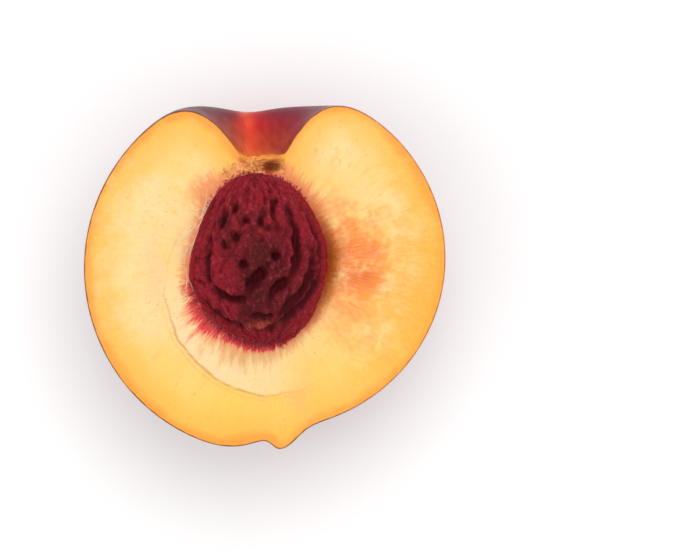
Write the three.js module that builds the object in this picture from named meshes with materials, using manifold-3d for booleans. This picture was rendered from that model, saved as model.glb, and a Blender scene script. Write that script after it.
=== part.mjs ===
// Half of a smooth-skinned peach with its stone still in it, lying on the round of its skin, cut face up.
// Millimetres, +Z up. +Y runs from the pointed tip to the stem end, +X across the cheeks.
import * as THREE from "three";
import { mergeVertices } from "three/addons/utils/BufferGeometryUtils.js";
import Module from "manifold-3d";

// The skin is a distance from the core's centre, in each direction. A cheek's meridian is a body
// (mean, taper towards the tip, crown at both ends) less the stem dimple, with a beak and a hollow at the tip.
// Lengths are millimetres and spans are degrees of angle.
const LEFT_CHEEK = {
  mean: 36.6,
  taper: 3.1,
  crown: 0.3,
  dimple: 18.9,
  dimpleSpan: 13.1,
  beak: 2.5,
  beakSpan: 3.6,
  hollow: 3.2,
  hollowSpan: 12.8,
};
const RIGHT_CHEEK = {
  mean: 35.1,
  taper: 5.5,
  crown: -0.4,
  dimple: 25.3,
  dimpleSpan: 14.9,
  beak: 3.9,
  beakSpan: 8.5,
  hollow: 0,
  hollowSpan: 12.8,
};
const DIMPLE_FLOOR = 26; // from the core's centre to the scar the stem left
const DIMPLE_BLEND = 0.7; // how softly the dimple's wall runs into its floor
const BACK_DEPTH = 0.96; // the back is this much as deep as the cheeks are wide

// The suture groove runs down the middle of the back, deepest over the stem-end shoulder.
const SUTURE = {
  depth: 0.4,
  shoulderDepth: 2.1,
  shoulderAt: 25,
  shoulderSpan: 34,
  width: 5.5,
  offset: -1.6, // from the middle, towards the left cheek
};

const REST_CUT = 0.7; // how much the fruit's own weight has flattened where it rests
const FRUIT_SEGMENTS = { around: 56, along: 46 };

// The stone: a flattened egg with a beak, its keel along the +X edge.
const STONE = {
  centre: new THREE.Vector3(-1.3, 5.2, 0.4),
  halfWidth: 13.5,
  halfLength: 16.6,
  halfThickness: 9.9,
  beak: 1.5,
  beakSpan: 15,
  keel: 0.5,
  keelSpan: 20,
};
const STONE_SEGMENTS = { around: 48, along: 30 };
const FURROWS = { count: 11, depth: 0.75, twist: 0.55 };
const SEAT_GAP = 0.3; // clearance between the stone and the flesh it sits in

const wasm = await Module();
wasm.setup();

const bell = (offset, span) => Math.exp(-((offset / span) ** 2));
const degrees = THREE.MathUtils.radToDeg;

// Distance from the core's centre to the skin along one cheek, at an angle in degrees from the stem end.
function cheekRadius(cheek, angle) {
  const turn = THREE.MathUtils.degToRad(angle);
  const fromTip = 180 - angle;
  const body = cheek.mean + cheek.taper * Math.cos(turn) + cheek.crown * Math.cos(2 * turn);
  const dimpled = body - cheek.dimple * bell(angle, cheek.dimpleSpan);
  return dimpled + cheek.beak * bell(fromTip, cheek.beakSpan) - cheek.hollow * bell(fromTip, cheek.hollowSpan);
}

// The larger of two lengths, with a soft change from one to the other.
function softMax(a, b, blend) {
  return Math.max(a, b) + blend * Math.log1p(Math.exp(-Math.abs(a - b) / blend));
}

function sutureDepth(angle) {
  return SUTURE.depth + SUTURE.shoulderDepth * bell(angle - SUTURE.shoulderAt, SUTURE.shoulderSpan);
}

// The point on the skin in a direction from the core's centre.
function skinPoint(direction) {
  const angle = degrees(Math.acos(THREE.MathUtils.clamp(direction.y, -1, 1)));
  const girth = Math.hypot(direction.x, direction.z);
  const rightShare = girth > 0 ? (1 + direction.x / girth) / 2 : 0.5;
  const cheek = THREE.MathUtils.lerp(
    cheekRadius(LEFT_CHEEK, angle),
    cheekRadius(RIGHT_CHEEK, angle),
    rightShare,
  );
  const nearStem = direction.y > 0.8;
  let radius = nearStem ? softMax(cheek, DIMPLE_FLOOR / direction.y, DIMPLE_BLEND) : cheek;
  const groove = sutureDepth(angle) * bell(radius * direction.x - SUTURE.offset, SUTURE.width) * girth;
  if (direction.z < 0) radius -= groove * Math.min(1, -direction.z / girth);
  const point = direction.clone().multiplyScalar(radius);
  point.z *= BACK_DEPTH;
  return point;
}

// The point on the stone's smooth envelope in a direction from its own centre.
function envelopePoint(direction, clearance) {
  const fromTip = degrees(Math.acos(THREE.MathUtils.clamp(-direction.y, -1, 1)));
  const fromKeel = degrees(Math.asin(THREE.MathUtils.clamp(Math.abs(direction.z), 0, 1)));
  const point = new THREE.Vector3(
    direction.x * STONE.halfWidth,
    direction.y * STONE.halfLength - STONE.beak * bell(fromTip, STONE.beakSpan),
    direction.z * STONE.halfThickness,
  );
  if (direction.x > 0) point.x += STONE.keel * direction.x * bell(fromKeel, STONE.keelSpan);
  return point.addScaledVector(direction, clearance);
}

// The stone's skin: its envelope with furrows that run from end to end and lean round it.
function stonePoint(direction) {
  const round = Math.atan2(direction.z, direction.x);
  const wave = Math.cos(FURROWS.count * (round + FURROWS.twist * direction.y));
  const endFade = 1 - direction.y ** 4;
  const depth = FURROWS.depth * (0.5 - 0.5 * wave) * endFade;
  return envelopePoint(direction, -depth);
}

// A sphere with its poles on Y, drawn out to a shape.
// Its rows crowd towards the poles, where the shape is finest.
function shapedSphere(segments, pointAt, crowding) {
  const geometry = new THREE.SphereGeometry(1, segments.around, segments.along);
  geometry.deleteAttribute("normal");
  geometry.deleteAttribute("uv");
  const position = geometry.getAttribute("position");
  const direction = new THREE.Vector3();
  for (let i = 0; i < position.count; i++) {
    direction.fromBufferAttribute(position, i).normalize();
    const angle = Math.acos(THREE.MathUtils.clamp(direction.y, -1, 1));
    const crowded = angle - (crowding * Math.sin(2 * angle)) / 2;
    const girth = Math.hypot(direction.x, direction.z);
    if (girth > 1e-6) {
      const spread = Math.sin(crowded) / girth;
      direction.set(direction.x * spread, Math.cos(crowded), direction.z * spread);
    }
    const point = pointAt(direction);
    position.setXYZ(i, point.x, point.y, point.z);
  }
  return geometry;
}

function solidOf(geometry) {
  const merged = mergeVertices(geometry, 1e-4);
  return new wasm.Manifold(
    new wasm.Mesh({
      numProp: 3,
      vertProperties: merged.getAttribute("position").array,
      triVerts: new Uint32Array(merged.index.array),
    }),
  );
}

function geometryOf(solid) {
  const mesh = solid.getMesh();
  const geometry = new THREE.BufferGeometry();
  geometry.setAttribute("position", new THREE.BufferAttribute(mesh.vertProperties, 3));
  geometry.setIndex(new THREE.BufferAttribute(mesh.triVerts, 1));
  return geometry;
}

// A block that fills all the space above or below a height, for flat cuts.
function cuttingBlock(height, side) {
  const size = 4 * LEFT_CHEEK.mean;
  const block = new THREE.BoxGeometry(size, size, size);
  block.deleteAttribute("normal");
  block.deleteAttribute("uv");
  return solidOf(block.translate(0, 0, height + (side * size) / 2));
}

// The fruit, halved across the suture, pressed flat where it rests, and hollowed for the stone.
function makePeachHalf() {
  const fruit = shapedSphere(FRUIT_SEGMENTS, skinPoint, 0.45);
  fruit.computeBoundingBox();
  const seat = shapedSphere(STONE_SEGMENTS, (d) => envelopePoint(d, SEAT_GAP), 0);
  seat.translate(...STONE.centre);
  const half = solidOf(fruit)
    .subtract(cuttingBlock(0, 1))
    .subtract(cuttingBlock(fruit.boundingBox.min.z + REST_CUT, -1))
    .subtract(solidOf(seat));
  const mesh = new THREE.Mesh(
    geometryOf(half),
    new THREE.MeshStandardMaterial({ color: 0xf6c66a, roughness: 0.45, metalness: 0 }),
  );
  mesh.name = "peach_half";
  return mesh;
}

function makeStone() {
  const geometry = shapedSphere(STONE_SEGMENTS, stonePoint, 0.25);
  const mesh = new THREE.Mesh(
    geometryOf(solidOf(geometry)),
    new THREE.MeshStandardMaterial({ color: 0x6b1628, roughness: 0.5, metalness: 0 }),
  );
  mesh.name = "stone";
  mesh.position.copy(STONE.centre);
  return mesh;
}

const peachHalf = makePeachHalf();
const peach = new THREE.Group();
peach.add(peachHalf, makeStone());

// The origin is on the table, under the middle of the half.
peachHalf.geometry.computeBoundingBox();
const box = peachHalf.geometry.boundingBox;
const middle = box.getCenter(new THREE.Vector3());
peach.position.set(-middle.x, -middle.y, -box.min.z);

export default peach;
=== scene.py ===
import math
import random

import bpy
import numpy as np
from mathutils import Matrix, Vector, kdtree, noise


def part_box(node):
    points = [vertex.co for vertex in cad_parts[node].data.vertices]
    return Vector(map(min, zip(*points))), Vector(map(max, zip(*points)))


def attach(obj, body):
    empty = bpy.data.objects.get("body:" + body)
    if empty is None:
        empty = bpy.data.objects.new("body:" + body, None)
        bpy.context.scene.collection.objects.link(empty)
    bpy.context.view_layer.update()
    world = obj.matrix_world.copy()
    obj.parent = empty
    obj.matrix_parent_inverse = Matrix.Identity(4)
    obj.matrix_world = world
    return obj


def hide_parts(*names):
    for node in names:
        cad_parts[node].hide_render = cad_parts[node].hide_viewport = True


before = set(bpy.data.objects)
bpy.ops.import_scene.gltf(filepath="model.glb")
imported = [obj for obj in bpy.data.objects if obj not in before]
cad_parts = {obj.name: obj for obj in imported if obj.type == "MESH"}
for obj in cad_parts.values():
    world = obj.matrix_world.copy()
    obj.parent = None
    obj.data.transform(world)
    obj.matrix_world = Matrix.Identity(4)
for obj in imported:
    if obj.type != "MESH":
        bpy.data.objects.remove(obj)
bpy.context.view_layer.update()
mm = 0.001

# +Y runs from the tip to the stem end, +X across the cheeks, and the cut face looks up +Z.
# Shapes are worked out in millimetres from the middle of the fruit's core, on the cut plane.


# Small helpers
def rgb(hexCode):
    channels = [int(hexCode[i:i + 2], 16) / 255 for i in (0, 2, 4)]
    return (*[c / 12.92 if c <= 0.04045 else ((c + 0.055) / 1.055) ** 2.4 for c in channels], 1.0)


def bell(offset, span):
    return np.exp(-(offset / span) ** 2)


def ease(value, low, high):
    t = np.clip((value - low) / (high - low), 0, 1)
    return t * t * (3 - 2 * t)


def noiseField(points, scale, octaves=3, seed=0.0):
    # cloudy noise about -1 to 1, with features about one scale wide
    shift = Vector((seed * 7.31, seed * 3.17, seed * 5.71))
    return np.array([noise.fractal(Vector(p) / scale + shift, 0.9, 2.0, octaves) for p in points])


def deselectAll():
    bpy.ops.object.select_all(action='DESELECT')


def shadeSmooth(piece):
    deselectAll()
    piece.select_set(True)
    bpy.context.view_layer.objects.active = piece
    bpy.ops.object.shade_smooth()


def meshPoints(piece):
    points = np.zeros(len(piece.data.vertices) * 3)
    piece.data.vertices.foreach_get("co", points)
    return points.reshape(-1, 3)


def setPoints(piece, points):
    piece.data.vertices.foreach_set("co", np.asarray(points, dtype=float).ravel())
    piece.data.update()


def pointValues(piece, name, values):
    layer = piece.data.attributes.new(name, 'FLOAT', 'POINT')
    layer.data.foreach_set("value", np.asarray(values, dtype=np.float32))


def faceValues(piece, onFace, name, values):
    # values on the cut face and nothing elsewhere
    pointValues(piece, name, np.where(onFace, values, 0))


def pointVectors(piece, name, values):
    layer = piece.data.attributes.new(name, 'FLOAT_VECTOR', 'POINT')
    layer.data.foreach_set("vector", np.asarray(values, dtype=np.float32).ravel())


def angleFrom(degrees, middle):
    return (degrees - middle + 180) % 360 - 180


# The fruit's own shape
leftCheek = dict(mean=36.6, taper=3.1, crown=0.3, dimple=18.9, dimpleSpan=13.1,
                 beak=2.5, beakSpan=3.6, hollow=3.2, hollowSpan=12.8)
rightCheek = dict(mean=35.1, taper=5.5, crown=-0.4, dimple=25.3, dimpleSpan=14.9,
                  beak=3.9, beakSpan=8.5, hollow=0.0, hollowSpan=12.8)
fruit = dict(
    dimpleFloor=26.0,          # core's middle to the stem scar
    dimpleBlend=0.7,
    backDepth=0.96,
    grooveDepth=0.4,           # the suture, down the middle of the back
    shoulderGroove=2.1,
    shoulderAngle=25,
    shoulderSpan=34,
    grooveWidth=5.5,
    grooveOffset=-1.6,         # the suture isn't quite in the middle
    shoulderSwell=1.1,         # the back's left shoulder stands proud
    shoulderSwellWay=(-0.36, 0.88, -0.31),
    shoulderSwellSpan=14,
)
stoneShape = dict(
    centre=(-1.3, 4.7, 0.4),
    size=15.1,                 # mean radius of its outline, then how the outline swells round it
    swellCos=(0.4, 1.7, 0.3, 0.4),
    swellSin=(0.0, 0.1, 0.2, -0.2),
    halfThickness=9.9,
)


def cheekRadius(cheek, angle):
    # angle in degrees from the stem end
    fromTip = 180 - angle
    turn = np.radians(angle)
    body = cheek["mean"] + cheek["taper"] * np.cos(turn) + cheek["crown"] * np.cos(2 * turn)
    body = body - cheek["dimple"] * bell(angle, cheek["dimpleSpan"])
    return (body + cheek["beak"] * bell(fromTip, cheek["beakSpan"])
            - cheek["hollow"] * bell(fromTip, cheek["hollowSpan"]))


def skinRadius(way):
    # distance from the core's middle to the skin, in each direction
    up = np.clip(way[:, 1], -1, 1)
    angle = np.degrees(np.arccos(up))
    girth = np.maximum(np.hypot(way[:, 0], way[:, 2]), 1e-9)
    rightShare = (1 + way[:, 0] / girth) / 2
    cheek = cheekRadius(leftCheek, angle) * (1 - rightShare) + cheekRadius(rightCheek, angle) * rightShare
    floor = fruit["dimpleFloor"] / np.maximum(up, 0.5)
    blend = fruit["dimpleBlend"]
    dimpled = np.maximum(cheek, floor) + blend * np.log1p(np.exp(-np.abs(cheek - floor) / blend))
    radius = np.where(up > 0.8, dimpled, cheek)
    fromShoulder = angle - fruit["shoulderAngle"]
    depth = fruit["grooveDepth"] + fruit["shoulderGroove"] * bell(fromShoulder, fruit["shoulderSpan"])
    groove = depth * bell(radius * way[:, 0] - fruit["grooveOffset"], fruit["grooveWidth"])
    groove = groove * np.clip(-way[:, 2], 0, 1)
    swellWay = np.array(fruit["shoulderSwellWay"])
    fromSwell = np.degrees(np.arccos(np.clip(way @ (swellWay / np.linalg.norm(swellWay)), -1, 1)))
    return radius - groove + fruit["shoulderSwell"] * bell(fromSwell, fruit["shoulderSwellSpan"])


def skinPoints(way):
    points = way * skinRadius(way)[:, None]
    points[:, 2] *= fruit["backDepth"]
    return points


def outlinePoints(angle):
    # the cut's edge, clockwise from the stem end, in degrees
    turn = np.radians(angle)
    return skinPoints(np.stack([np.sin(turn), np.cos(turn), np.zeros_like(turn)], 1))


def stoneOutline(turn):
    radius = np.full_like(turn, stoneShape["size"])
    for k, (cosPart, sinPart) in enumerate(zip(stoneShape["swellCos"], stoneShape["swellSin"]), 1):
        radius = radius + cosPart * np.cos(k * turn) + sinPart * np.sin(k * turn)
    return radius


# The cut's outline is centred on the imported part, which puts the fruit where the CAD has it.
edgeLoop = outlinePoints(np.linspace(0, 360, 3600, endpoint=False))
low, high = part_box("peach_half")
cutHeight = high.z / mm
toPart = np.array([
    (low.x + high.x) / 2 / mm - (edgeLoop[:, 0].min() + edgeLoop[:, 0].max()) / 2,
    (low.y + high.y) / 2 / mm - (edgeLoop[:, 1].min() + edgeLoop[:, 1].max()) / 2,
    cutHeight,
])
stoneCentre = np.array(stoneShape["centre"])


def place(piece, points):
    setPoints(piece, (points + toPart) * mm)


# Camera, floor and light
view = dict(lens=154.3, distance=600, tipUp=4.5, tipLeft=2.0, roll=4.0, aimRight=16.4, aimUp=1.0)


def addCamera():
    roll = math.radians(view["roll"])
    right = Vector((math.cos(roll), -math.sin(roll), 0))
    up = Vector((math.sin(roll), math.cos(roll), 0))
    aim = Vector(toPart) + right * view["aimRight"] + up * view["aimUp"]
    lean = (Vector((0, 0, 1)) + up * math.tan(math.radians(view["tipUp"]))
            - right * math.tan(math.radians(view["tipLeft"]))).normalized()
    side = up.cross(lean).normalized()
    turn = Matrix((side, lean.cross(side), lean)).transposed()
    bpy.ops.object.camera_add(location=(aim + lean * view["distance"]) * mm, rotation=turn.to_euler())
    camera = bpy.context.object
    camera.name = "view_camera"
    camera.data.lens = view["lens"]
    camera.data.sensor_width = 36
    camera.data.clip_start = 0.02
    bpy.context.scene.camera = camera


studio = dict(worldLight=0.88, keyPower=3.6, keySize=0.8, keyPlace=(0.12, 0.5, 0.95),
              fillPower=0.8, fillSize=0.9, fillPlace=(-0.7, -0.1, 0.8), floorColour="fdfcfc")


def areaLight(name, spot, size, power):
    toTarget = Vector((0, 0, 0.02)) - Vector(spot)
    turn = toTarget.to_track_quat('-Z', 'Y').to_euler()
    bpy.ops.object.light_add(type='AREA', location=spot, rotation=turn)
    light = bpy.context.object
    light.name = name
    light.data.shape = 'DISK'
    light.data.size = size
    light.data.energy = power


def addStudio():
    scene = bpy.context.scene
    scene.view_settings.view_transform = 'Standard'
    world = bpy.data.worlds.new("studio_white")
    scene.world = world
    world.use_nodes = True
    world.node_tree.nodes["Background"].inputs["Color"].default_value = (1, 1, 1, 1)
    world.node_tree.nodes["Background"].inputs["Strength"].default_value = studio["worldLight"]
    areaLight("key_light", studio["keyPlace"], studio["keySize"], studio["keyPower"])
    areaLight("fill_light", studio["fillPlace"], studio["fillSize"], studio["fillPower"])
    deselectAll()
    bpy.ops.mesh.primitive_plane_add(size=4, location=(0, 0, 0))
    floor = bpy.context.object
    floor.name = "studio_floor"
    material = bpy.data.materials.new("floor_white")
    material.use_nodes = True
    shader = material.node_tree.nodes["Principled BSDF"]
    shader.inputs["Base Color"].default_value = rgb(studio["floorColour"])
    shader.inputs["Roughness"].default_value = 0.9
    shader.inputs["Specular IOR Level"].default_value = 0.1
    floor.data.materials.append(material)


addCamera()
addStudio()
print("camera, floor and lights are in place")


# Material building blocks
class Nodes:
    # a few short ways to add and join shader nodes
    def __init__(self, name):
        self.material = bpy.data.materials.new(name)
        self.material.use_nodes = True
        self.tree = self.material.node_tree
        self.shader = self.tree.nodes["Principled BSDF"]

    def join(self, source, socket):
        if isinstance(source, bpy.types.NodeSocket):
            self.tree.links.new(source, socket)
        else:
            socket.default_value = source

    def add(self, kind, **inputs):
        node = self.tree.nodes.new(kind)
        for name, value in inputs.items():
            self.join(value, node.inputs[name])
        return node

    def value(self, name):
        node = self.add('ShaderNodeAttribute')
        node.attribute_name = name
        return node.outputs["Fac"]

    def vector(self, name):
        node = self.add('ShaderNodeAttribute')
        node.attribute_name = name
        return node.outputs["Vector"]

    def place(self):
        return self.add('ShaderNodeTexCoord').outputs["Object"]

    def math(self, operation, a, b=0.0):
        node = self.add('ShaderNodeMath')
        node.operation = operation
        self.join(a, node.inputs[0])
        self.join(b, node.inputs[1])
        return node.outputs[0]

    def sway(self, noiseValue, reach):
        # noise that swings to both sides of zero
        return self.math('MULTIPLY', self.math('SUBTRACT', noiseValue, 0.5), reach)

    def outward(self, around, fromStone, stretch):
        # a place for noise that goes round the stone and is drawn out away from it
        girth = self.add('ShaderNodeVectorMath')
        girth.operation = 'SCALE'
        self.join(around, girth.inputs[0])
        self.join(15.0, girth.inputs["Scale"])
        away = self.add('ShaderNodeCombineXYZ', Z=self.math('MULTIPLY', fromStone, stretch))
        both = self.add('ShaderNodeVectorMath')
        both.operation = 'ADD'
        self.join(girth.outputs[0], both.inputs[0])
        self.join(away.outputs[0], both.inputs[1])
        return both.outputs[0]

    def grain(self, vector, scale, detail=3.0, roughness=0.55):
        return self.add('ShaderNodeTexNoise', Vector=vector, Scale=scale, Detail=detail,
                        Roughness=roughness).outputs["Fac"]

    def cells(self, vector, scale):
        return self.add('ShaderNodeTexVoronoi', Vector=vector, Scale=scale).outputs["Distance"]

    def span(self, value, low, high, toLow=0.0, toHigh=1.0):
        node = self.add('ShaderNodeMapRange')
        node.interpolation_type = 'SMOOTHSTEP'
        for socket, setting in zip(node.inputs, (value, low, high, toLow, toHigh)):
            self.join(setting, socket)
        return node.outputs[0]

    def mix(self, share, a, b, mode='MIX'):
        node = self.add('ShaderNodeMix')
        node.data_type = 'RGBA'
        node.blend_type = mode
        self.join(share, node.inputs[0])
        self.join(a, node.inputs[6])
        self.join(b, node.inputs[7])
        return node.outputs[2]

    def bump(self, height, distance, strength=1.0, under=None):
        node = self.add('ShaderNodeBump', Height=height, Distance=distance, Strength=strength)
        if under is not None:
            self.join(under, node.inputs["Normal"])
        return node.outputs["Normal"]

    def finish(self, colour, roughness, normal, **constants):
        self.join(colour, self.shader.inputs["Base Color"])
        self.join(roughness, self.shader.inputs["Roughness"])
        self.join(normal, self.shader.inputs["Normal"])
        for name, value in constants.items():
            self.shader.inputs[name].default_value = value
        return self.material


# The half: a ball's rings become the seat, the cut face and the skin
half = dict(
    columns=440,
    seatRings=30,
    faceRings=100,
    skinRings=64,
    halfWidth=36,
    edgeRound=0.2,             # the cut's corner
    seatGap=-0.4,              # the flesh clings to the stone
    rightGap=0.25,             # the flesh has let go of the stone on the right
    rightAngle=98,             # clockwise from the stem end
    rightGapSpan=38,
    rightSlopeSpan=36,
    rightDip=2.8,              # and slopes down to it
    dipWidth=1.3,
    waver=0.16,                # how far the knife wandered
    roughness=0.035,
)
# the shallow crescent left round the stone's lower left, in degrees clockwise from the stem end
crescent = dict(
    turns=(150, 182, 215, 232, 250, 270, 300),
    reach=(11.0, 10.5, 9.6, 8.3, 6.4, 4.8, 3.4),  # from the stone to its edge, at each of those turns
    fadeIn=(152, 185),
    thinning=(228, 262),
    thinnedBy=0.75,
    fadeOut=(285, 310),
    step=0.16,
)
# torn flesh between the stone and the stem's scar, with a hole in it and a flap on its left
tear = dict(
    middle=0.4,
    halfWidth=5.0,
    sides=(3.6, 5.2),
    start=(21.5, 23.2),        # towards the stem end
    roughness=1.1,
    sink=0.4,
    flapAt=-2.6,
    flapWidth=1.8,
    flapHeight=0.7,
    holeAt=(2.4, 23.5),
    holeSize=(1.9, 1.3),
    holeDepth=2.4,
    scarAt=24.5,
    scarWander=0.4,
)


def crescentStrength(degrees):
    thinned = 1 - crescent["thinnedBy"] * ease(degrees, *crescent["thinning"])
    return ease(degrees, *crescent["fadeIn"]) * thinned * (1 - ease(degrees, *crescent["fadeOut"]))


def makeHalf():
    rings = half["seatRings"] + half["faceRings"] + half["skinRings"]
    deselectAll()
    bpy.ops.mesh.primitive_uv_sphere_add(segments=half["columns"], ring_count=rings, radius=1)
    piece = bpy.context.object
    piece.name = "flesh_and_skin"
    ball = meshPoints(piece)
    ring = np.rint(np.arccos(np.clip(ball[:, 2], -1, 1)) / math.pi * rings).astype(int)
    turnShare = (-np.arctan2(ball[:, 1], ball[:, 0]) / (2 * math.pi)) % 1.0

    # columns are spaced evenly along the cut's edge
    step = np.linalg.norm(np.roll(edgeLoop, -1, axis=0) - edgeLoop, axis=1)
    travelled = np.concatenate([[0], np.cumsum(step)]) / step.sum()
    edgeAngle = np.interp(turnShare, travelled, np.linspace(0, 360, len(travelled)))
    edge = outlinePoints(edgeAngle)
    offset = edge[:, :2] - stoneCentre[:2]
    turn = np.arctan2(offset[:, 0], offset[:, 1])
    degrees = np.degrees(turn) % 360
    reach = np.hypot(offset[:, 0], offset[:, 1])
    outward = offset / reach[:, None]

    onRight = bell(angleFrom(degrees, half["rightAngle"]), half["rightGapSpan"])
    rimPlace = np.stack([np.sin(turn), np.cos(turn), np.zeros_like(turn)], 1) * 14
    ragged = 0.22 * noiseField(rimPlace, 1.4, 3, 1.0)
    rim = stoneOutline(turn) + half["seatGap"] + half["rightGap"] * onRight + ragged * (0.5 + onRight)
    rim = np.minimum(rim, reach - 1.6)

    seatEnd, faceEnd = half["seatRings"], half["seatRings"] + half["faceRings"]
    inSeat = ring < seatEnd
    onFace = (ring >= seatEnd) & (ring <= faceEnd)
    onSkin = ring > faceEnd

    # the cut face
    share = (ring - seatEnd) / half["faceRings"]
    share = share - 0.5 * np.sin(2 * math.pi * share) / (2 * math.pi)
    fromStone = np.where(onFace, share * (reach - rim), 0)
    points = np.zeros_like(ball)
    facePlace = stoneCentre[:2] + outward * (rim + fromStone)[:, None]
    points[:, :2] = facePlace
    fromSkin = np.full(len(ball), 30.0)
    faceIds = np.flatnonzero(onFace)
    for part in np.array_split(faceIds, 40):
        gap = facePlace[part][:, None, :] - edgeLoop[None, ::3, :2]
        fromSkin[part] = np.sqrt((gap ** 2).sum(2).min(1))
    fromSkin[ring == faceEnd] = 0

    acrossFace, alongFace = facePlace[:, 0], facePlace[:, 1]
    flat = np.stack([acrossFace, alongFace, np.zeros(len(ball))], 1)
    height = half["waver"] * noiseField(flat, 11.0, 2, 2.0)
    height += half["roughness"] * noiseField(flat, 1.3, 3, 3.0)
    height -= half["rightDip"] * onRight * bell(fromStone, half["dipWidth"] * (1 + 0.6 * onRight))
    crescentShow = crescentStrength(degrees)
    wobble = 0.5 * noiseField(flat, 5.0, 2, 4.0)
    beyond = fromStone - np.interp(degrees, crescent["turns"], crescent["reach"]) + wobble
    height -= crescent["step"] * crescentShow * (1 - ease(beyond, -0.25, 0.15))
    fromTear = acrossFace - tear["middle"]
    tornPlace = np.exp(-(fromTear / tear["halfWidth"]) ** 4) * ease(alongFace, *tear["start"])
    frayed = np.abs(fromTear) - 0.9 * noiseField(flat, 1.5, 3, 6.0)
    tornPlace = tornPlace * (1 - ease(frayed, *tear["sides"]))
    height += tornPlace * (tear["roughness"] * noiseField(flat, 1.3, 4, 5.0) - tear["sink"])
    height += tear["flapHeight"] * tornPlace * bell(acrossFace - tear["flapAt"], tear["flapWidth"])
    hole = (bell(acrossFace - tear["holeAt"][0], tear["holeSize"][0])
            * bell(alongFace - tear["holeAt"][1], tear["holeSize"][1]))
    height -= tear["holeDepth"] * hole
    corner = half["edgeRound"]
    inCorner = np.clip(corner - fromSkin, 0, corner)
    height -= corner - np.sqrt(corner ** 2 - inCorner ** 2)
    points[:, 2] = height

    # the seat, below the stone
    sweep = ring / seatEnd * math.pi / 2
    seatDepth = stoneShape["halfThickness"] - stoneShape["centre"][2] + 0.5
    across = rim * np.sin(np.clip(sweep, 0, math.pi / 2))
    seatHeight = -seatDepth * np.cos(np.clip(sweep, 0, math.pi / 2))
    rimLevel = height * np.clip(ring / seatEnd, 0, 1) ** 6
    points[inSeat, :2] = (stoneCentre[:2] + outward * across[:, None])[inSeat]
    points[inSeat, 2] = (seatHeight + rimLevel)[inSeat]

    # the skin, from the cut's edge to where it rests
    along = np.clip((ring - faceEnd) / half["skinRings"], 0, 1) ** 1.6
    start = edge / np.linalg.norm(edge, axis=1)[:, None]
    restWay = np.array([0, 0.11, -math.sqrt(1 - 0.11 ** 2)])
    opening = np.arccos(np.clip(start @ restWay, -1, 1))
    way = np.sin((1 - along) * opening)[:, None] * start + np.sin(along * opening)[:, None] * restWay
    way /= np.linalg.norm(way, axis=1)[:, None]
    skin = skinPoints(way)
    skin[:, 2] = -np.hypot(skin[:, 2], corner)
    skin[:, 2] = np.maximum(skin[:, 2], -cutHeight)
    points[onSkin] = skin[onSkin]
    # rows near the edge keep the level of the cut above them
    points[onSkin, 2] += ((height + corner) * bell(along, 0.035))[onSkin]

    place(piece, points)
    pointValues(piece, "fromStone", np.where(inSeat, -1.0, fromStone))
    pointValues(piece, "fromSkin", np.where(inSeat, 30.0, np.where(onSkin, 0.0, fromSkin)))
    pointVectors(piece, "around", np.stack([outward[:, 0], outward[:, 1], np.zeros(len(ball))], 1))
    faceValues(piece, onFace, "crescent", crescentShow * (1 - ease(beyond, -0.6, 0.3)))
    crescentLine = bell(beyond, 0.2) + 0.3 * bell(beyond - 1.0, 0.25)
    faceValues(piece, onFace, "crescentLine", crescentShow * crescentLine)
    pointValues(piece, "torn", np.where(inSeat, 0, tornPlace))
    faceValues(piece, onFace, "hole", hole)
    # a dark line runs under the stem's scar
    fromScar = alongFace + tear["scarWander"] * noiseField(flat, 1.2, 3, 7.0) - tear["scarAt"]
    faceValues(piece, onFace, "scar", ease(fromScar, 0.1, 0.7))
    faceValues(piece, onFace, "scarLine", bell(fromScar, 0.25))
    pointValues(piece, "side", points[:, 0] / half["halfWidth"])
    return piece, dict(ring=ring, seatEnd=seatEnd, faceEnd=faceEnd, degrees=degrees, fromStone=fromStone,
                       onFace=onFace, points=points)


halfPiece, halfData = makeHalf()
print("the half's shape is made:", len(halfPiece.data.polygons), "faces")


# Blushes on the cut face: where, how long and wide, leaning which way, and how strong
blushes = [
    dict(spot=(-12.0, 20.0), size=(3.6, 2.6), lean=40, colour="e8784f", strength=0.75),
    dict(spot=(14.0, 14.5), size=(4.0, 3.2), lean=-35, colour="f08a50", strength=0.55),
    dict(spot=(17.5, 5.5), size=(6.8, 6.8), lean=10, colour="f27630", strength=1.0),
    dict(spot=(19.6, -0.3), size=(5.2, 3.2), lean=0, colour="dc3210", strength=1.0),
    dict(spot=(21.5, 5.2), size=(2.6, 2.2), lean=0, colour="ee6238", strength=0.8),
    dict(spot=(15.0, -5.0), size=(8.0, 6.0), lean=-50, colour="f68a3c", strength=0.8),
    dict(spot=(-22.5, 5.5), size=(2.0, 7.5), lean=0, colour="f3a487", strength=0.4),
    dict(spot=(-15.6, 6.0), size=(1.6, 6.0), lean=0, colour="f29a72", strength=0.5),
    dict(spot=(30.0, -4.0), size=(11.0, 21.0), lean=0, colour="f8ac32", strength=0.8),
    dict(spot=(6.0, -22.0), size=(14.0, 8.0), lean=0, colour="fbc465", strength=0.4),
    dict(spot=(-25.0, 7.0), size=(8.0, 15.0), lean=0, colour="fcdaa4", strength=0.6),
    dict(spot=(4.2, -22.5), size=(3.0, 4.0), lean=0, colour="fbb070", strength=0.45),
    dict(spot=(-11.0, 15.0), size=(2.6, 4.5), lean=-35, colour="f6a070", strength=0.55),
]


def blushMask(points, blush, wander):
    lean = math.radians(blush["lean"])
    dx = points[:, 0] - blush["spot"][0]
    dy = points[:, 1] - blush["spot"][1]
    long = (dx * math.cos(lean) + dy * math.sin(lean)) / blush["size"][0]
    wide = (dy * math.cos(lean) - dx * math.sin(lean)) / blush["size"][1]
    return blush["strength"] * (1 - ease(np.hypot(long, wide) + 0.6 * wander, 0.0, 1.45))


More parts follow.
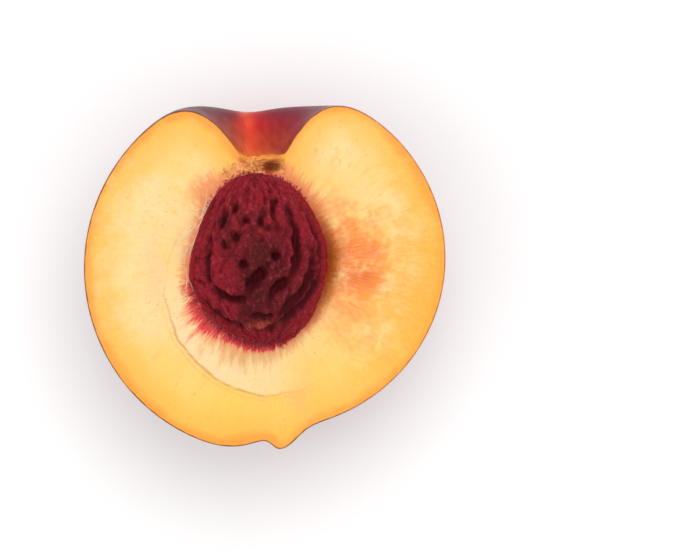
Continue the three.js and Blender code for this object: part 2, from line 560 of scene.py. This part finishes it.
# how far the crimson fringe reaches from the stone, and the halo of streaks beyond the fringe:
# a reach all round, then lobes as degrees clockwise from the stem end, span and extra reach
fringeReach = dict(allRound=0.12, lobes=[(229, 20, 3.3), (190, 22, 1.7)])
haloReach = dict(allRound=1.2, lobes=[(196, 26, 2.4), (30, 38, 1.8), (268, 10, 0.8), (328, 22, 1.6)])
tanMiddle, tanSpan = 190, 26


def reachRound(setting, degrees):
    lobes = [extra * bell(angleFrom(degrees, middle), span) for middle, span, extra in setting["lobes"]]
    return setting["allRound"] + sum(lobes)


def paintFace():
    points, onFace = halfData["points"], halfData["onFace"]
    degrees, fromStone = halfData["degrees"], halfData["fromStone"]
    flat = points * (1, 1, 0)
    wander = 0.8 * noiseField(flat, 3.2, 3, 8.0) + 0.5 * noiseField(flat, 0.9, 2, 8.5)
    for i, blush in enumerate(blushes):
        faceValues(halfPiece, onFace, f"blush{i}", blushMask(points, blush, wander))
    # rays round the stone, each drawn out away from it
    turn = np.radians(degrees)
    streak = np.stack([np.sin(turn) * 14, np.cos(turn) * 14, fromStone * 0.12], 1)
    rays = noiseField(streak, 0.75, 3, 9.0)
    onRight = bell(angleFrom(degrees, half["rightAngle"]), half["rightSlopeSpan"])
    fromEdge = fromStone + half["seatGap"] * (1 - onRight)
    fringeEnd = reachRound(fringeReach, degrees)
    haloEnd = fringeEnd + reachRound(haloReach, degrees)
    faceValues(halfPiece, onFace, "fringe", np.clip(1 - 0.4 * (fromEdge / fringeEnd + 0.35 * rays), 0, 1))
    faceValues(halfPiece, onFace, "halo", np.clip(1 - 0.4 * (fromEdge / haloEnd + 0.4 * rays), 0, 1))
    # the halo is tan below the stone and orange-pink round the rest of it
    pointValues(halfPiece, "tan", bell(angleFrom(degrees, tanMiddle), tanSpan))
    # painted shade: on the right the flesh slopes down to the stone, and that slope is painted dark orange as
    # its shade
    faceValues(halfPiece, onFace, "wall", onRight * (1 - ease(fromStone + 0.7 * rays, 1.2, 2.9)))

# Flesh, skin and seat
fleshLook = dict(
    cream="fbcd78", creamPale="fcd492", golden="fab948", lowGold="fbc84c", rimGold="f4962a",
    skinLine="7a3018", skinLineRight="b4581e", fleck="c2a25e",
    crescent="fbd9a8", crescentLine="b57a34",
    fringePale="f58a66", fringe="e0343c", fringeDeep="8e1020",
    # the two wall colours are painted shade on the slope beside the stone
    halo="f08a56", haloTan="dfa765", wall="e27c36", wallShadeDeep="c04a1a",
    # the dark torn colour also paints shade into the hole
    torn="e08a3e", tornDarkAndHoleShade="8e3d12", tornPale="fac084", scar="f0943c",
)
# the dark plum colour is painted sheen and shade on the stem dimple's walls
skinLook = dict(crimson="8c1024", burgundy="580b1a", bright="bc1422", stripe="ea342e", gold="f0943c",
                deep="a8122e", dimpleSheenAndShade="4e1730", dot="d98a6a")
# the dark colour is painted shade deep in the seat
seatLook = dict(red="b02a28", orange="d9702c", dark="5c1016")


def fleshMaterial():
    m = Nodes("cut_flesh")
    spot = m.place()
    around = m.vector("around")
    fromSkin = m.value("fromSkin")
    fromStone = m.value("fromStone")
    # cells of the flesh run out from the stone, so the grain is stretched that way
    radial = m.outward(around, fromStone, 0.16)
    rayCoarse = m.grain(radial, 1.1, 3.0)
    rayFine = m.grain(radial, 3.4, 4.0, 0.65)
    cloud = m.grain(spot, 90, 4.0)
    speck = m.grain(spot, 1500, 2.0)

    colour = m.mix(m.span(cloud, 0.35, 0.65), rgb(fleshLook["cream"]), rgb(fleshLook["creamPale"]))
    height = m.add('ShaderNodeSeparateXYZ', Vector=spot).outputs["Y"]
    colour = m.mix(m.span(height, -0.006, -0.026, 0.0, 0.75), colour, rgb(fleshLook["lowGold"]))
    wave = m.math('ADD', fromSkin, m.sway(cloud, 5.0))
    colour = m.mix(m.span(wave, 9.0, 2.0, 0.0, 0.85), colour, rgb(fleshLook["golden"]))
    colour = m.mix(m.span(wave, 2.6, 0.3, 0.0, 0.8), colour, rgb(fleshLook["rimGold"]))
    colour = m.mix(m.span(rayCoarse, 0.52, 0.72, 0.0, 0.35), colour, rgb(fleshLook["golden"]))
    colour = m.mix(m.math('MULTIPLY', m.value("crescent"), 0.8), colour, rgb(fleshLook["crescent"]))
    colour = m.mix(m.math('MULTIPLY', m.value("crescentLine"), 0.75), colour, rgb(fleshLook["crescentLine"]))
    for i, blush in enumerate(blushes):
        share = m.math('MULTIPLY', m.value(f"blush{i}"), m.span(rayFine, 0.3, 0.62, 0.55, 1.0))
        colour = m.mix(share, colour, rgb(blush["colour"]))
    jag = m.math('ADD', m.sway(rayCoarse, 0.55), m.sway(rayFine, 0.6))
    haloShare = m.span(m.math('ADD', m.value("halo"), jag), 0.42, 0.9, 0.0, 0.92)
    haloColour = m.mix(m.value("tan"), rgb(fleshLook["halo"]), rgb(fleshLook["haloTan"]))
    colour = m.mix(haloShare, colour, haloColour)
    fringeShare = m.math('ADD', m.value("fringe"), jag)
    colour = m.mix(m.span(fringeShare, 0.42, 0.62, 0.0, 0.75), colour, rgb(fleshLook["fringePale"]))
    colour = m.mix(m.span(fringeShare, 0.56, 0.72), colour, rgb(fleshLook["fringe"]))
    colour = m.mix(m.span(fringeShare, 0.78, 0.98), colour, rgb(fleshLook["fringeDeep"]))
    # painted shade on the right's slope, darkest next to the stone
    wallShadeColour = m.mix(m.span(fromStone, 0.0, 1.6), rgb(fleshLook["wallShadeDeep"]), rgb(fleshLook["wall"]))
    colour = m.mix(m.value("wall"), colour, wallShadeColour)
    shred = m.grain(spot, 900, 3.0)
    tornColour = m.mix(m.span(shred, 0.4, 0.6), rgb(fleshLook["torn"]), rgb(fleshLook["tornPale"]))
    tornColour = m.mix(m.math('MULTIPLY', m.value("scarLine"), 0.6), tornColour, rgb(fleshLook["tornDarkAndHoleShade"]))
    # painted shade: the hole in the torn flesh is painted dark brown
    tornColour = m.mix(m.span(m.value("hole"), 0.15, 0.6), tornColour, rgb(fleshLook["tornDarkAndHoleShade"]))
    tornColour = m.mix(m.value("scar"), tornColour, rgb(fleshLook["scar"]))
    torn = m.value("torn")
    colour = m.mix(m.math('MULTIPLY', torn, 0.9), colour, tornColour)
    dashes = m.grain(m.outward(around, fromStone, 0.45), 2.3, 1.0)
    dash = m.math('MULTIPLY', m.span(dashes, 0.63, 0.72), m.span(cloud, 0.4, 0.6, 0.08, 0.34))
    colour = m.mix(dash, colour, rgb(fleshLook["fleck"]))
    colour = m.mix(m.span(speck, 0.62, 0.74, 0.0, 0.2), colour, rgb(fleshLook["fleck"]))
    ragged = m.math('ADD', fromSkin, m.sway(m.grain(spot, 500, 2.0), 0.3))
    line = m.math('MULTIPLY', m.span(ragged, 0.36, 0.12), m.math('SUBTRACT', 1.0, torn))
    toRight = m.span(m.value("side"), 0.2, 0.8)
    lineColour = m.mix(toRight, rgb(fleshLook["skinLine"]), rgb(fleshLook["skinLineRight"]))
    colour = m.mix(line, colour, lineColour)

    wet = m.span(m.grain(spot, 260, 3.0), 0.35, 0.7, 0.3, 0.52)
    relief = m.bump(rayFine, 0.00022, 0.5)
    relief = m.bump(m.grain(spot, 1100, 3.0), 0.00012, 0.5, relief)
    return m.finish(colour, wet, relief, **{
        "Subsurface Weight": 0.35,
        "Subsurface Radius": (0.0035, 0.0016, 0.0006),
        "Subsurface Scale": 1.0,
        "Specular IOR Level": 0.4,
    })


def skinMaterial():
    m = Nodes("smooth_skin")
    spot = m.place()
    blotch = m.grain(spot, 38, 3.0, 0.45)
    mottle = m.grain(spot, 320, 3.0)
    colour = m.mix(m.span(blotch, 0.3, 0.66), rgb(skinLook["burgundy"]), rgb(skinLook["crimson"]))
    colour = m.mix(m.span(mottle, 0.45, 0.75, 0.0, 0.35), colour, rgb(skinLook["bright"]))
    # painted sheen and shade on the stem dimple's walls
    colour = m.mix(m.value("dimpleSheenAndShade"), colour, rgb(skinLook["dimpleSheenAndShade"]))
    colour = m.mix(m.value("deep"), colour, rgb(skinLook["deep"]))
    colour = m.mix(m.value("suture"), colour, rgb(skinLook["bright"]))
    colour = m.mix(m.value("stripe"), colour, rgb(skinLook["stripe"]))
    colour = m.mix(m.value("yellow"), colour, rgb(skinLook["gold"]))
    dots = m.cells(spot, 760)
    dotShare = m.math('MULTIPLY', m.span(dots, 0.17, 0.06, 0.0, 0.42), m.value("open"))
    colour = m.mix(dotShare, colour, rgb(skinLook["dot"]))
    relief = m.bump(mottle, 0.00008, 0.4)
    m.join(m.math('MULTIPLY', m.value("open"), 0.35), m.shader.inputs["Coat Weight"])
    return m.finish(colour, m.span(mottle, 0.3, 0.7, 0.28, 0.38), relief, **{
        "Coat Roughness": 0.12,
        "Specular IOR Level": 0.2,
        "IOR": 1.3,
        "Subsurface Weight": 0.05,
        "Subsurface Radius": (0.002, 0.0006, 0.0003),
        "Subsurface Scale": 1.0,
    })


def seatMaterial():
    m = Nodes("seat_flesh")
    spot = m.place()
    fibre = m.grain(spot, 700, 4.0, 0.65)
    colour = m.mix(m.span(fibre, 0.38, 0.62), rgb(seatLook["orange"]), rgb(seatLook["red"]))
    # painted shade: the seat is painted dark from 1.5 to 5 mm below the cut, under the stone
    deep = m.add('ShaderNodeSeparateXYZ', Vector=spot).outputs["Z"]
    rimLevel = cutHeight * mm
    colour = m.mix(m.span(deep, rimLevel - 0.0015, rimLevel - 0.005), colour, rgb(seatLook["dark"]))
    return m.finish(colour, 0.42, m.bump(fibre, 0.0003, 0.7), **{
        "Subsurface Weight": 0.2,
        "Subsurface Radius": (0.003, 0.001, 0.0005),
        "Subsurface Scale": 1.0,
    })


def dressHalf():
    # flesh on the cut face, skin outside it, and the seat's own flesh inside it
    for material in (fleshMaterial(), skinMaterial(), seatMaterial()):
        halfPiece.data.materials.append(material)
    loops = np.zeros(len(halfPiece.data.loops), dtype=int)
    halfPiece.data.loops.foreach_get("vertex_index", loops)
    starts = np.array([p.loop_start for p in halfPiece.data.polygons])
    ring = halfData["ring"][loops]
    highest = np.maximum.reduceat(ring, starts)
    lowest = np.minimum.reduceat(ring, starts)
    kind = np.where(lowest >= halfData["faceEnd"], 1, np.where(highest <= halfData["seatEnd"], 2, 0))
    halfPiece.data.polygons.foreach_set("material_index", kind)
    shadeSmooth(halfPiece)


def paintSkin():
    points = halfData["points"]
    rad = np.linalg.norm(points, axis=1)
    fromStem = np.degrees(np.arccos(np.clip(points[:, 1] / rad, -1, 1)))
    wander = noiseField(points, 6.0, 3, 12.0)
    fromSuture = points[:, 0] - fruit["grooveOffset"]
    suture = bell(fromSuture - 0.8 + 0.6 * wander, 3.4) * ease(-points[:, 2], 0.0, 2.0)
    suture *= 0.2 + 0.8 * bell(fromStem, 45)
    streaky = noiseField(points * (1, 1, 0.4), 1.6, 3, 13.0)
    stripe = bell(fromSuture + 0.5 * streaky, 1.3) * ease(-points[:, 2], 0.5, 3.0) * bell(fromStem - 16, 16)
    stripe = stripe * (0.75 + 0.5 * streaky)
    notch = bell(fromSuture + 0.5, 1.5) * bell(fromStem - 26, 7) * (0.7 + 0.6 * streaky)
    yellow = bell(fromStem, 8.6 + 1.6 * streaky) + 0.8 * bell(180 - fromStem, 4) + notch
    pointValues(halfPiece, "suture", np.clip(0.75 * suture, 0, 1))
    pointValues(halfPiece, "stripe", np.clip(0.85 * stripe, 0, 1))
    pointValues(halfPiece, "yellow", np.clip(yellow, 0, 0.9))
    pointValues(halfPiece, "open", ease(fromStem, 24, 40))
    pointValues(halfPiece, "deep", 0.75 * bell(fromStem, 13))
    # painted sheen and shade: the stem dimple's walls are painted dark plum, stronger and nearer the floor on
    # the left
    onLeft = ease(-fromSuture, 1.0, 4.0)
    dimpleSheenAndShade = (0.7 + 0.25 * onLeft) * ease(fromStem, 13 - 3 * onLeft, 21 - 5 * onLeft)
    dimpleSheenAndShade = dimpleSheenAndShade * (1 - ease(fromStem, 32, 50))
    pointValues(halfPiece, "dimpleSheenAndShade", dimpleSheenAndShade)


paintFace()
paintSkin()
dressHalf()
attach(halfPiece, "root")
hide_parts("peach_half")
print("the half has its flesh, skin and seat")


# The stone
stone = dict(
    ballLevels=7,
    thinness=1.35,             # how much wider than thick it is
    cellRadius=13,
    cellWidth=2.6,             # spacing of the furrows round it
    cellLength=6.0,
    furrowDepth=0.36,
    pitDepth=0.38,
    carve=1.25,
    pits=56,
    fuzz=0.15,
)
# the larger furrows of its upper face: three points, width and depth, millimetres from its middle
furrows = [
    dict(path=[(4.0, 13.0), (3.9, 12.0), (3.8, 10.8)], width=0.7, depth=1.1),
    dict(path=[(-2.3, 9.8), (-2.2, 9.3), (-2.0, 8.8)], width=0.5, depth=0.9),
    dict(path=[(-4.0, 12.5), (-4.1, 11.8), (-4.1, 11.0)], width=0.5, depth=0.7),
    dict(path=[(-6.2, 10.6), (-6.9, 9.6), (-7.2, 8.4)], width=0.5, depth=0.9),
    dict(path=[(-5.2, 6.4), (-4.5, 6.1), (-4.0, 6.2)], width=0.7, depth=0.8),
    dict(path=[(3.6, 2.6), (3.6, 1.6), (3.1, 0.9)], width=0.8, depth=1.4),
    dict(path=[(-3.1, 1.6), (-3.1, 0.6), (-3.3, -0.4)], width=0.7, depth=1.2),
    dict(path=[(1.3, -0.2), (-1.3, -2.0), (-3.0, -5.8)], width=1.0, depth=1.5),
    dict(path=[(-3.0, -5.9), (-5.6, -8.2), (-10.3, -3.8)], width=0.8, depth=1.2),
    dict(path=[(6.6, 10.2), (9.6, 2.0), (5.7, -3.3)], width=0.9, depth=1.4),
    dict(path=[(5.7, -3.3), (3.2, -4.4), (1.7, -6.7)], width=1.0, depth=1.5),
    dict(path=[(11.0, 2.4), (12.0, -5.6), (2.2, -10.6)], width=0.9, depth=1.4),
    dict(path=[(2.4, -10.6), (0.2, -11.2), (-2.0, -10.2)], width=0.8, depth=1.3),
    dict(path=[(9.0, 11.6), (13.4, 3.6), (12.3, -2.0)], width=0.6, depth=0.9),
    dict(path=[(12.4, -1.6), (11.2, -8.6), (0.8, -13.4)], width=0.7, depth=1.1),
    dict(path=[(-9.4, 6.2), (-11.4, 1.2), (-10.6, -4.2)], width=0.5, depth=0.8),
    dict(path=[(-7.0, 5.6), (-7.4, 4.6), (-7.3, 3.6)], width=0.5, depth=0.8),
    dict(path=[(-12.2, -5.8), (-10.6, -10.4), (-4.8, -12.6)], width=0.6, depth=0.9),
    dict(path=[(6.2, 12.0), (7.2, 10.2), (7.5, 8.4)], width=0.5, depth=0.8),
    dict(path=[(0.5, 10.0), (0.7, 9.2), (0.8, 8.3)], width=0.4, depth=0.6),
]


def nearFurrow(points, path):
    # how far each point lies from a curve through three control points, and how near the curve's middle
    t = np.linspace(0, 1, 60)[:, None]
    a, b, c = (np.array(p) for p in path)
    curve = (1 - t) ** 2 * a + 2 * t * (1 - t) * b + t ** 2 * c
    gap = np.linalg.norm(points[:, None, :2] - curve[None], axis=2)
    nearest = gap.argmin(1)
    taper = np.sin(math.pi * (0.12 + 0.76 * nearest / 59))
    return gap.min(1), taper


def makeStone():
    deselectAll()
    bpy.ops.mesh.primitive_ico_sphere_add(subdivisions=stone["ballLevels"], radius=1)
    piece = bpy.context.object
    piece.name = "furrowed_stone"
    ball = meshPoints(piece)
    turn = np.arctan2(ball[:, 0], ball[:, 1])
    outline = stoneOutline(turn)
    extents = np.stack([outline, outline, np.full_like(outline, stoneShape["halfThickness"])], 1)
    smooth = ball * extents
    normal = ball / extents
    normal /= np.linalg.norm(normal, axis=1)[:, None]

    # cells stretched from stem to tip, whose borders are furrows
    roundStone = np.arctan2(smooth[:, 2] * stone["thinness"], smooth[:, 0])
    acrossCells = np.cos(roundStone) * stone["cellRadius"]
    throughCells = np.sin(roundStone) * stone["cellRadius"]
    drift = 0.5 * noiseField(smooth, 7.0, 2, 21.0)
    cellPlace = np.stack([
        acrossCells / stone["cellWidth"] + drift,
        throughCells / stone["cellWidth"] + 0.5 * noiseField(smooth, 5.0, 2, 22.0),
        smooth[:, 1] / stone["cellLength"] + drift,
    ], 1)
    border = np.zeros(len(ball))
    joint = np.zeros(len(ball))
    for i, p in enumerate(cellPlace):
        near, _ = noise.voronoi(Vector(p))
        border[i] = near[1] - near[0]
        joint[i] = near[2] - near[0]
    sink = stone["furrowDepth"] * (1 - ease(border, 0.0, 0.5))
    sink = sink + stone["pitDepth"] * (1 - ease(joint, 0.05, 0.35))
    upper = ball[:, 2] > 0
    carved = np.zeros(len(ball))
    sway = np.stack([smooth[:, 0] + 0.5 * noiseField(smooth, 2.2, 2, 23.0),
                     smooth[:, 1] + 0.5 * noiseField(smooth, 2.2, 2, 24.0)], 1)
    for furrow in furrows:
        gap, taper = nearFurrow(sway, furrow["path"])
        deep = stone["carve"] * furrow["depth"] * taper * bell(gap, 1.1 * furrow["width"])
        carved = np.maximum(carved, deep)
        # the shell stands up a little beside each furrow
        lip = bell(gap - 2.1 * furrow["width"], 0.9 * furrow["width"])
        carved = carved - 0.2 * furrow["depth"] * taper * lip
    carved = np.where(upper, carved * ease(ball[:, 2], 0.0, 0.25), 0)
    calm = bell(smooth[:, 0] + 1, 8.5) * bell(smooth[:, 1], 11) * 0.5 + ease(smooth[:, 0], 4, 9) * 0.75
    sink = sink * (1 - np.clip(calm, 0, 1) * upper) + carved
    # small pits, most of them on the upper left
    dice = random.Random(41)
    pits = np.zeros(len(ball))
    for i in range(stone["pits"]):
        x, y = dice.uniform(-11, 6), dice.uniform(-4, 13.5)
        long, wide = dice.uniform(0.5, 1.1), dice.uniform(0.25, 0.42)
        up = sway[:, 1] - y
        hollow = bell(up / long, 1) * bell((sway[:, 0] - x + 0.25 * up) / wide, 1)
        pits = np.maximum(pits, dice.uniform(0.2, 0.5) * hollow)
    sink = sink + np.where(upper, pits, 0)
    fibre = np.stack([acrossCells / 0.5, throughCells / 0.5, smooth[:, 1] / 1.1], 1)
    fuzz = noiseField(fibre, 1.0, 3, 25.0) * (1 + 0.8 * ease(np.abs(smooth[:, 1]), 8, 14))
    lumps = noiseField(smooth, 2.2, 4, 26.0)
    lift = 0.34 * lumps + stone["fuzz"] * fuzz - sink
    points = smooth + normal * (lift - 0.1)[:, None] + stoneCentre
    place(piece, points)
    # how sunk each point is, which the material paints as shade
    pointValues(piece, "hollow", np.clip((sink - 0.3 * lumps) / 1.1, 0, 1))
    # a pale lens near the tip, and a browner heart
    pointValues(piece, "lens", bell(smooth[:, 0] + 0.7, 2.6) * bell(smooth[:, 1] + 12.3, 0.8) * upper)
    pointValues(piece, "heart", bell(smooth[:, 0] - 1, 8.0) * bell(smooth[:, 1] + 2.5, 8.5))
    pointValues(piece, "fibre", fuzz * 0.5 + 0.5)
    pointValues(piece, "rim", 1 - ease(np.abs(ball[:, 2]), 0.05, 0.45))
    return piece


# the furrow colour is painted shade in the furrows and pits
stoneLook = dict(ridge="921a28", furrow="3c0209", brown="541617", rimRed="9e1424", pale="ac3e48",
                 grit="4c0912", lens="b2603a")


def stoneMaterial():
    m = Nodes("stone_shell")
    spot = m.place()
    hollow = m.value("hollow")
    fibre = m.value("fibre")
    cloud = m.grain(spot, 130, 4.0)
    grit = m.grain(spot, 1400, 4.0, 0.7)
    brownCloud = m.span(cloud, 0.42, 0.66, 0.0, 0.55)
    brownShare = m.math('ADD', brownCloud, m.math('MULTIPLY', m.value("heart"), 0.7))
    colour = m.mix(m.span(brownShare, 0.0, 1.0), rgb(stoneLook["ridge"]), rgb(stoneLook["brown"]))
    colour = m.mix(m.math('MULTIPLY', m.value("rim"), 0.5), colour, rgb(stoneLook["rimRed"]))
    colour = m.mix(m.span(fibre, 0.5, 0.95, 0.0, 0.5), colour, rgb(stoneLook["pale"]))
    # painted shade: the furrows and pits are painted dark
    colour = m.mix(m.span(hollow, 0.2, 1.0, 0.0, 0.9), colour, rgb(stoneLook["furrow"]))
    colour = m.mix(m.span(grit, 0.42, 0.62, 0.0, 0.45), colour, rgb(stoneLook["grit"]))
    # painted highlight: small pale glints, kept out of the furrows
    sparkle = m.span(m.grain(spot, 2300, 2.0), 0.6, 0.74)
    glint = m.math('MULTIPLY', sparkle, m.span(hollow, 0.3, 0.1, 0.0, 0.5))
    colour = m.mix(glint, colour, rgb(stoneLook["pale"]))
    lensShare = m.math('MULTIPLY', m.value("lens"), m.span(grit, 0.6, 0.4, 0.15, 0.5))
    colour = m.mix(lensShare, colour, rgb(stoneLook["lens"]))
    relief = m.bump(grit, 0.0004, 0.8)
    return m.finish(colour, m.span(grit, 0.3, 0.7, 0.5, 0.75), relief, **{
        "Specular IOR Level": 0.1,
        "Subsurface Weight": 0.05,
        "Subsurface Radius": (0.002, 0.0005, 0.0005),
        "Subsurface Scale": 1.0,
    })


stonePiece = makeStone()
stonePiece.data.materials.append(stoneMaterial())
shadeSmooth(stonePiece)
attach(stonePiece, "root")
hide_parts("stone")
print("the stone lies in its seat:", len(stonePiece.data.polygons), "faces")


# Torn fibres, laid on the flesh round the stone. Sweep is the part of its edge they start from, in degrees
# clockwise from the stem end, and out is how far from that edge.
fibreSets = [
    dict(name="pale_fibres", sweep=(262, 322), out=(0.3, 1.6), count=22, length=(2.5, 6.5), lean=84, curl=0.5,
         thick=0.07, lift=0.05, colour="ffe8c2"),
    dict(name="curled_fibres", sweep=(78, 122), out=(1.2, 3.6), count=20, length=(1.8, 4.2), lean=70, curl=1.5,
         thick=0.07, lift=0.06, colour="ffb878"),
    dict(name="crimson_hairs", sweep=(164, 250), out=(0.0, 0.5), count=110, length=(0.6, 1.7), lean=0, curl=0.7,
         thick=0.06, lift=0.03, colour="a8101e"),
    dict(name="rosy_hairs", sweep=(206, 262), out=(0.1, 1.8), count=70, length=(0.7, 2.2), lean=12, curl=0.7,
         thick=0.06, lift=0.03, colour="f4564e"),
    dict(name="crown_hairs", sweep=(-40, 44), out=(0.0, 0.2), count=70, length=(0.3, 1.0), lean=12, curl=1.0,
         thick=0.1, lift=0.05, colour="c03048"),
    dict(name="stem_tufts", sweep=(-17, 4), out=(0.4, 2.2), count=40, length=(0.5, 1.2), lean=50, curl=1.8,
         thick=0.2, lift=0.04, colour="fcae6c"),
    dict(name="stem_threads", sweep=(-20, 22), out=(0.6, 2.6), count=16, length=(0.7, 1.8), lean=40, curl=1.4,
         thick=0.08, lift=0.08, colour="e08844"),
]
fibreSteps = 6


def plantTree(points):
    tree = kdtree.KDTree(len(points))
    for i, (x, y, z) in enumerate(points):
        tree.insert((x, y, 0), i)
    tree.balance()
    return tree


def makeFibres(setting, seed):
    dice = random.Random(seed)
    curve = bpy.data.curves.new(setting["name"], 'CURVE')
    curve.dimensions = '3D'
    curve.bevel_depth = setting["thick"] * mm
    curve.bevel_resolution = 1
    curve.use_fill_caps = True
    for i in range(setting["count"]):
        start = math.radians(dice.uniform(*setting["sweep"]))
        out = float(stoneOutline(np.array([start]))[0]) + dice.uniform(*setting["out"])
        spot = stoneCentre[:2] + out * np.array([math.sin(start), math.cos(start)])
        heading = start + math.radians(setting["lean"] * dice.choice((-1, 1)) + dice.gauss(0, 16))
        bend = math.radians(dice.gauss(0, 22) * setting["curl"])
        step = dice.uniform(*setting["length"]) / fibreSteps
        spline = curve.splines.new('POLY')
        spline.points.add(fibreSteps)
        for k in range(fibreSteps + 1):
            spot = clearOfStone(spot)
            arch = math.sin(math.pi * k / fibreSteps)
            level = fleshLevel(spot) + setting["lift"] * (0.4 + dice.random()) * arch
            here = (np.array([spot[0], spot[1], level]) + toPart) * mm
            spline.points[k].co = (*here, 1)
            spline.points[k].radius = 1.1 - 0.13 * k
            spot = spot + step * np.array([math.sin(heading), math.cos(heading)])
            heading += bend / 2 + math.radians(dice.gauss(0, 9) * setting["curl"])
    piece = bpy.data.objects.new(setting["name"], curve)
    bpy.context.collection.objects.link(piece)
    deselectAll()
    piece.select_set(True)
    bpy.context.view_layer.objects.active = piece
    bpy.ops.object.convert(target='MESH')
    piece = bpy.context.object
    bpy.ops.object.shade_smooth()
    m = Nodes(setting["name"] + "_look")
    shade = m.grain(m.place(), 700, 2.0)
    tint = rgb(setting["colour"])
    colour = m.mix(m.span(shade, 0.3, 0.7), (*[0.72 * c for c in tint[:3]], 1), tint)
    piece.data.materials.append(m.finish(colour, 0.4, m.bump(shade, 0.00002, 0.3), **{
        "Specular IOR Level": 0.2,
    }))
    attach(piece, "root")
    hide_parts("peach_half")


facePoints = halfData["points"][halfData["onFace"]]
faceTree = plantTree(facePoints)


def fleshLevel(spot):
    _, nearest, _ = faceTree.find((spot[0], spot[1], 0))
    return facePoints[nearest][2]


def clearOfStone(spot):
    offset = spot - stoneCentre[:2]
    reach = np.linalg.norm(offset)
    least = float(stoneOutline(np.array([math.atan2(offset[0], offset[1])]))[0]) + 0.1
    return stoneCentre[:2] + offset * max(1, least / reach)


for seed, setting in enumerate(fibreSets):
    makeFibres(setting, 70 + seed)
print("the torn fibres are laid")
